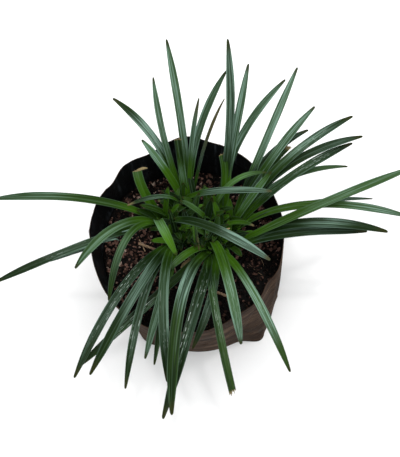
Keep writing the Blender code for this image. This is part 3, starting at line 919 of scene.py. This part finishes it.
def paint_leaf(name, green, dark, sheen):
    """Waxy leaf: yellow-green by the crown, deep green beyond, with a pale sheen painted over a part of its
    length, and with glints painted bright in short dashes along its veins."""
    paint = Paint(name)
    look = paint.stored("look", "Color")
    fresh, gloss, dry = paint.parts("ShaderNodeSeparateColor", "Color", look)
    end_share = Shade(paint, look.socket.node.outputs["Alpha"])
    painted_sheen = paint.stored("painted_sheen", "Vector")
    start, stop, pale = paint.parts("ShaderNodeSeparateXYZ", "Vector", painted_sheen)
    foot = paint.stored("from_foot")
    own = paint.stored("own")
    strap = paint.node("ShaderNodeUVMap", {"uv_map": "UVMap"})
    along, across = paint.parts("ShaderNodeSeparateXYZ", "Vector", strap)[:2]

    def lines(lengthwise, crosswise, detail):
        """Noise drawn out along the leaf, so many cells to the metre and across the width."""
        sockets = {"X": foot * lengthwise + own * 40.0, "Y": across * crosswise, "Z": own * 9.0}
        return paint.noise(paint.node("ShaderNodeCombineXYZ", {}, sockets), 1.0, detail, 0.6)

    patches = lines(26.0, 2.0, 3.0)
    long_tone = lines(12.0, 7.0, 3.0)
    fine_tone = lines(60.0, 16.0, 3.0)
    strands = lines(16.0, 6.0, 1.5)
    off_middle = paint.node("ShaderNodeMath", {"operation": "ABSOLUTE"}, {0: across - 0.5})
    centre = paint.ramp(off_middle, 0.05, 0.0)
    edge = paint.ramp(off_middle, 0.41, 0.46)
    leafy = paint.ramp(foot, 0.018 + 0.030 * fresh, 0.044 + 0.040 * fresh)
    # Painted sheen: a pale band over part of the length stands in for the sky's reflection on the leaf's
    # arching top.
    wander = along + 0.12 * (long_tone - 0.5) + 0.08 * (fine_tone - 0.5)
    begun = paint.ramp(wander, start - 0.07, start + 0.10)
    ended = paint.ramp(wander, stop - 0.11, stop + 0.06)
    band = begun * (1.0 - ended)
    veins = paint.ramp(0.70 * strands + 0.30 * fine_tone, 0.46, 0.59)
    tone = 0.30 * long_tone + 0.40 * strands + 0.15 * fine_tone + 0.35 * patches + 0.20 * (own - 0.5)
    colour = paint.mix(paint.ramp(tone + 0.3 * fresh - 0.15, 0.48, 0.68), dark, green)
    by_crown = (1.0 - leafy) * (0.35 + 1.10 * fresh)
    beyond = leafy * (0.80 * fresh - 0.16) * (1.0 - paint.ramp(along, stop - 0.3, stop))
    lively = paint.node("ShaderNodeMath", {"operation": "MINIMUM"}, {0: by_crown + beyond, 1: 1.0})
    colour = paint.mix(lively * (0.50 + 0.24 * veins + 0.24 * long_tone), colour, LEAF_FRESH)
    colour = paint.mix(band * pale * (0.08 + 1.10 * veins + 0.30 * patches), colour, LEAF_PALE)
    # Thin pale lines at the edges, along the middle and near the crown; the edge lines are painted brighter
    # within the painted sheen.
    thin_lines = (0.12 + 0.36 * band * pale) * edge + (0.10 + 0.10 * band) * centre
    thin_lines = thin_lines + 0.16 * leafy * paint.ramp(strands, 0.58, 0.66)
    colour = paint.mix(thin_lines, colour, LEAF_PALE)
    end = paint.ramp(along + 0.6 * end_share * (fine_tone - 0.5), 1.0 - end_share, 1.0 - 0.25 * end_share)
    colour = paint.mix(end * 0.85, colour, paint.mix(paint.ramp(dry, 0.15, 0.75), LEAF_TIP, LEAF_DRY))
    dead = paint.ramp(dry, 0.96, 1.0) * (1.0 - paint.ramp(fresh, 0.02, 0.08))
    colour = paint.mix(dead * (0.55 + 0.5 * fine_tone), colour, LEAF_DRY)
    # Painted highlights: bright glints painted into the colour in short dashes along the ribs, in patches
    # within the painted sheen.
    ribs = across * (math.tau * RIBS) + 3.0 * long_tone
    wave = paint.node("ShaderNodeMath", {"operation": "COSINE"}, {0: ribs})
    dashes = paint.ramp(lines(200.0, 5.0, 1.0), 0.50, 0.57)
    glint_spots = dashes * paint.ramp(patches, 0.43, 0.54) * (0.10 + 0.90 * band)
    glints = paint.ramp(wave, 0.74, 0.98) * glint_spots * gloss * gloss * leafy * sheen
    colour = paint.mix(glints * 0.65, colour, LEAF_GLINT)
    relief = 0.8 * fine_tone + 0.5 * long_tone - 0.6 * centre
    return paint.finish(
        Base_Color=colour,
        Roughness=0.54 - 0.10 * gloss + 0.14 * fine_tone,
        Specular_IOR_Level=0.08,
        Coat_Weight=(0.04 * gloss + 0.5 * glints) * sheen,
        Coat_Roughness=0.13,
        Coat_IOR=1.6,
        Normal=paint.bump(relief, 0.00018, 0.6),
    )


def leaf_line(foot, heading, reach, rise, arch, bow, bend):
    """The three points of the leaf's curve: foot, pull and tip."""
    turn = math.radians(heading)
    out = Vector((math.cos(turn), math.sin(turn), 0.0))
    left = Vector((-out.y, out.x, 0.0))
    tip = foot + reach * out + Vector((0.0, 0.0, rise))
    pull = foot + bend * (tip - foot) + Vector((0.0, 0.0, 2.0 * arch)) + 2.0 * bow * left
    return foot, pull, tip


def draw_curve(foot, pull, tip, twist):
    """A curve from the buried base by way of the foot to the tip, level across and twisted towards
    the tip. Returns it with the lengths of its two parts."""
    way = (pull - foot).normalized()
    back = BURIED_BACK * Vector((way.x, way.y, 0.0)).normalized()
    base = foot - back - Vector((0.0, 0.0, BURIED_DOWN))
    bpy.ops.curve.primitive_bezier_curve_add()
    curve = bpy.context.object
    curve.data.dimensions = "3D"
    curve.data.twist_mode = "Z_UP"
    curve.data.resolution_u = 40
    spline = curve.data.splines[0]
    spline.bezier_points.add(1)
    spline.tilt_interpolation = "LINEAR"
    handles = (
        (base, base - Vector((0.0, 0.0, 1.0)), base + 0.3 * (foot - base)),
        (foot, foot - 2.5 * way, foot + (pull - foot) * 2.0 / 3.0),
        (tip, tip + (pull - tip) * 2.0 / 3.0, tip - (pull - tip) * 0.1),
    )
    for knot, (at, before, after) in zip(spline.bezier_points, handles):
        knot.handle_left_type = knot.handle_right_type = "FREE"
        knot.co = MM * at
        knot.handle_left = MM * before
        knot.handle_right = MM * after
    spline.bezier_points[2].tilt = -math.radians(twist)
    steps = 120
    shares = [n / steps for n in range(steps + 1)]
    line = [(1 - t) ** 2 * foot + 2 * t * (1 - t) * pull + t * t * tip for t in shares]
    return curve, MM * (foot - base).length, MM * sum((b - a).length for a, b in zip(line, line[1:]))


def mark_leaf(leaf, from_foot, own, look, painted_sheen):
    """Stores what the leaf's paint reads: lengths from the foot, its own draw, its look and its painted
    sheen.
    """
    count = len(leaf.data.vertices)
    store(leaf, "from_foot", from_foot)
    store(leaf, "own", own)
    layer = leaf.data.attributes.new("look", "FLOAT_COLOR", "POINT")
    layer.data.foreach_set("color", np.tile(np.array(LOOKS[look], np.float32), count))
    layer = leaf.data.attributes.new("painted_sheen", "FLOAT_VECTOR", "POINT")
    layer.data.foreach_set("vector", np.tile(np.array(painted_sheen, np.float32), count))


def grow_leaf(pattern, line, width, twist, look, painted_sheen, own):
    """A copy of the pattern, made to length and width, thickened and bent along its own curve."""
    curve, buried, length = draw_curve(*line, twist)
    leaf = bpy.data.objects.new("leaf", pattern.data.copy())
    bpy.context.scene.collection.objects.link(leaf)
    count = len(leaf.data.vertices)
    spots = np.empty(count * 3, np.float32)
    leaf.data.vertices.foreach_get("co", spots)
    spots = spots.reshape(-1, 3) * np.array([length + buried, MM * width / 2, MM * width / 2], np.float32)
    from_foot = spots[:, 0] - buried
    spots[:, 2] += RIPPLE * spots[:, 1] * np.sin(from_foot * RIPPLE_RATE + 20.0 * own)
    leaf.data.vertices.foreach_set("co", spots.ravel())
    shade = SHORT_SHADE if pattern is short_blade else 0.0
    mark_leaf(leaf, from_foot + shade, own, look, painted_sheen)
    leaf.data.materials.append(leaf_top_paint)
    leaf.data.materials.append(leaf_under_paint)
    thickness = leaf.modifiers.new("thickness", "SOLIDIFY")
    thickness.thickness = MM * BLADE_THICKNESS
    thickness.offset = 0.0
    thickness.material_offset = 1
    bend = leaf.modifiers.new("bend", "CURVE")
    bend.object = curve
    bend.deform_axis = "POS_X"
    apply_all(leaf)
    bpy.data.objects.remove(curve)
    return leaf


def make_crown(place):
    """The stub that the leaves grow from: a cylinder drawn in towards its top, sunk in the mix."""
    deselect()
    bpy.ops.mesh.primitive_cylinder_add(
        vertices=20,
        radius=MM * CROWN_RADIUS,
        depth=MM * CROWN_DEPTH,
        location=(MM * place[0], MM * place[1], MM * (SOIL_HEIGHT - CROWN_DEPTH / 2)),
    )
    stub = bpy.context.object
    bpy.ops.object.transform_apply()
    bpy.ops.object.mode_set(mode="EDIT")
    select_near(stub, 2, MM * SOIL_HEIGHT)
    middle = (MM * place[0], MM * place[1], MM * SOIL_HEIGHT)
    for rise, share in ((1.5, 0.9), (1.5, 0.7)):
        bpy.ops.mesh.extrude_region_move(TRANSFORM_OT_translate={"value": (0.0, 0.0, MM * rise)})
        bpy.ops.transform.resize(value=(share, share, 1.0), center_override=middle)
    bpy.ops.object.mode_set(mode="OBJECT")
    bpy.ops.object.shade_smooth()
    mark_leaf(stub, 0.1, 0.1, "dark", NO_PAINTED_SHEEN)
    stub.data.materials.append(leaf_under_paint)
    return stub


def grow_one(place, x, y, heading, reach, rise, arch, bow, width, bend, twist, look, *painted_sheen):
    """One leaf of a table row, from its crown."""
    foot = Vector((place[0] + x, place[1] + y, SOIL_HEIGHT + FOOT_RISE))
    line = leaf_line(foot, heading, reach, rise, arch, bow, bend)
    pattern = pointed_blade if reach > SHORT_REACH else short_blade
    if look.startswith("cut"):
        pattern = cut_blade
    return grow_leaf(pattern, line, width, twist, look, painted_sheen or NO_PAINTED_SHEEN, leaf_draw.random())


def make_short_leaves(place, ring, count, reach, rise, width, looks):
    """Short leaves that stand round a crown, each by its own draw within these limits."""
    pieces = []
    for n in range(count):
        heading = 360.0 * n / count + leaf_draw.uniform(-25.0, 25.0)
        x, y = ring * math.cos(math.radians(heading)), ring * math.sin(math.radians(heading))
        size = leaf_draw.uniform(*width)
        twist = leaf_draw.uniform(-20.0, 20.0)
        far, high = leaf_draw.uniform(*reach), leaf_draw.uniform(*rise)
        look = leaf_draw.choice(looks)
        row = (x, y, heading, far, high, SHORT_ARCH, 0.0, size, SHORT_BEND, twist, look)
        pieces.append(grow_one(place, *row))
    return pieces


def make_scrap(x, y, z, heading, reach, rise, arch, width, twist, look, *painted_sheen):
    """A short blade from any point in the clump."""
    line = leaf_line(Vector((x, y, z)), heading, reach, rise, arch, 0.0, 0.5)
    return grow_leaf(short_blade, line, width, twist, look, painted_sheen or NO_PAINTED_SHEEN, leaf_draw.random())


# Painted shade: the short leaves mostly take the dark and deep looks, as they stand in the crown's shade.
SHEATH_LOOKS = ("dark", "deep", "plain", "plain", "plain", "dark", "deep", "fresh", "plain", "deep")
YOUNG_LOOKS = ("fresh", "dark", "fresh", "plain")
# Kinds of short leaves: how far from the crown they stand, how many, and the limits of their
# reach, rise and width, and their looks.
SHEATHS = (4.6, 6, (3.0, 9.0), (8.0, 24.0), (4.6, 6.6), SHEATH_LOOKS)
YOUNG_LEAVES = (2.5, 4, (8.0, 24.0), (18.0, 40.0), (4.6, 6.6), YOUNG_LOOKS)
OFFSET_LEAVES = (2.5, 4, (16.0, 24.9), (16.0, 36.0), (4.4, 6.2), SHEATH_LOOKS)
# Where young offsets stand between the crowns, by the fan that they belong to.
OFFSETS = {
    "shoot_left": ((-17, 20), (-19, 33)),
    "shoot_back": ((3, 38), (-10, 34)),
    "shoot_middle": ((6, 25), (14, 34)),
    "shoot_right": ((25, 28), (26, 14)),
    "shoot_right_front": ((24, 8),),
    "shoot_front": ((7, 10), (9, 17)),
    "shoot_front_left": ((-4, 17), (-3, 5)),
}
# Withered scraps and split-off slivers that hang in the clump: foot x, y and height, heading,
# reach, rise, arch, width, twist and look, and for some the painted sheen.
SCRAPS = (
    (-46.5, 54.0, 123.0, 12, 8.5, 1.5, 1.5, 2.6, 30, "dead"),
    (-15.3, 32.8, 76.0, 148, 19.0, 10.0, 5.0, 3.6, 10, "fresh"),
    (6.3, 57.0, 72.0, 90, 2.5, 3.0, 0.5, 3.0, 0, "dead"),
    (-81.6, -12.0, 120.5, 200, 40.0, 1.0, 1.0, 3.4, 0, "deep", -0.5, 0.9, 0.4),
    # These two thin slivers are painted pale all along with painted sheen, so they read as bright streaks.
    (-63.9, -4.6, 118.0, 195.5, 19.5, 0.0, 0.5, 1.1, 0, "plain", -0.5, 2.0, 3.5),
    (-45.2, 7.5, 112.0, 195.5, 15.3, 0.0, 0.5, 1.2, 0, "plain", -0.5, 2.0, 3.5),
    (-7.5, 12.2, 100.0, 8, 7.0, 2.0, 2.5, 2.4, 20, "fading"),
    (1.7, 11.7, 105.0, 279, 21.0, -7.0, 3.0, 2.0, 40, "brown"),
    (0.0, 12.5, 104.0, 276, 18.0, -6.0, 3.0, 1.8, -40, "olive"),
    (-2.4, -7.6, 73.0, 224, 12.0, 1.0, 1.0, 3.6, 0, "dead"),
    (23.5, -8.5, 148.5, 15, 6.0, 2.0, 0.5, 1.6, 0, "dead"),
    (26.0, -9.0, 148.5, 352, 5.0, 2.0, 0.5, 1.4, 0, "dead"),
)
leaf_top_paint = paint_leaf("leaf top", LEAF_GREEN, LEAF_DARK, 1.0)
leaf_under_paint = paint_leaf("leaf underside", LEAF_UNDER, LEAF_GREEN, 0.4)
pointed_blade = model_blade(True, BLADE_COLUMNS, BLADE_ROWS)
cut_blade = model_blade(False, BLADE_COLUMNS, BLADE_ROWS)
short_blade = model_blade(True, SHORT_COLUMNS, SHORT_ROWS)
leaf_draw = random.Random(7)
for shoot_name, (place, rows) in LEAVES.items():
    parts = [make_crown(place)]
    parts += [grow_one(place, *row) for row in rows]
    parts += make_short_leaves(place, *SHEATHS)
    parts += make_short_leaves(place, *YOUNG_LEAVES)
    for offset in OFFSETS[shoot_name]:
        parts += make_short_leaves(offset, *OFFSET_LEAVES)
    fan = join(parts, shoot_name.replace("shoot", "leaves"))
    bpy.ops.object.shade_smooth_by_angle(angle=SMOOTH_ANGLE)
    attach(fan, "root")
    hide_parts(shoot_name)
scraps = join([make_scrap(*row) for row in SCRAPS], "dry_scraps")
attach(scraps, "root")
for pattern in (pointed_blade, cut_blade, short_blade):
    bpy.data.objects.remove(pattern)
